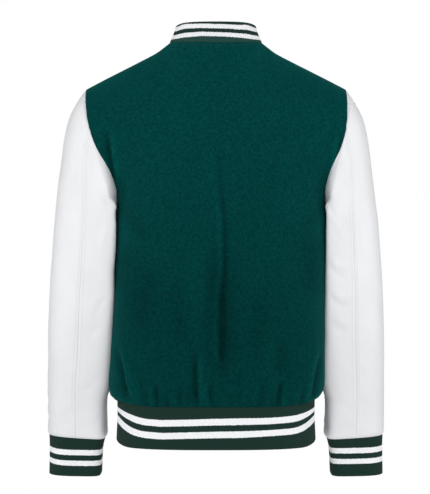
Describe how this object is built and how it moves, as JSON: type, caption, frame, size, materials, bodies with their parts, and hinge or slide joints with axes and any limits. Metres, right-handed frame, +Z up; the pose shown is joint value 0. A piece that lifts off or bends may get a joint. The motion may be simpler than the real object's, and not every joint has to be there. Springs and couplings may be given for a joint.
{
  "type": "varsity jacket",
  "caption": "Waist-length varsity jacket in worn form: wool body, pale leather sleeves, snap front, and striped rib collar, cuffs and hem band.",
  "frame": {"origin": "between the two points where a shoulder seam meets the collar, 3.5 mm below them and 4 mm in front of them", "axes": "+Z up along the worn jacket, -Y out of its front, +X to the wearer's left"},
  "size_m": [0.575, 0.2909, 0.7685],
  "materials": {
    "wool": "dark green felted wool, matt",
    "sleeve_leather": "smooth off-white leather, satin",
    "rib_knit": "dark green rib knit with white stripes, matt",
    "snap_metal": "dark green enamelled metal, satin"
  },
  "bodies": {
    "root": {"back": "wool", "front_left": "wool", "front_right": "wool", "sleeve_upper_left": "sleeve_leather", "sleeve_under_left": "sleeve_leather", "sleeve_upper_right": "sleeve_leather", "sleeve_under_right": "sleeve_leather", "cuff_rib_left": "rib_knit", "cuff_rib_right": "rib_knit", "hem_rib": "rib_knit", "collar_rib": "rib_knit", "snap_1": "snap_metal", "snap_2": "snap_metal", "snap_3": "snap_metal", "snap_4": "snap_metal", "snap_5": "snap_metal", "snap_6": "snap_metal", "snap_7": "snap_metal"}
  },
  "joints": []
}
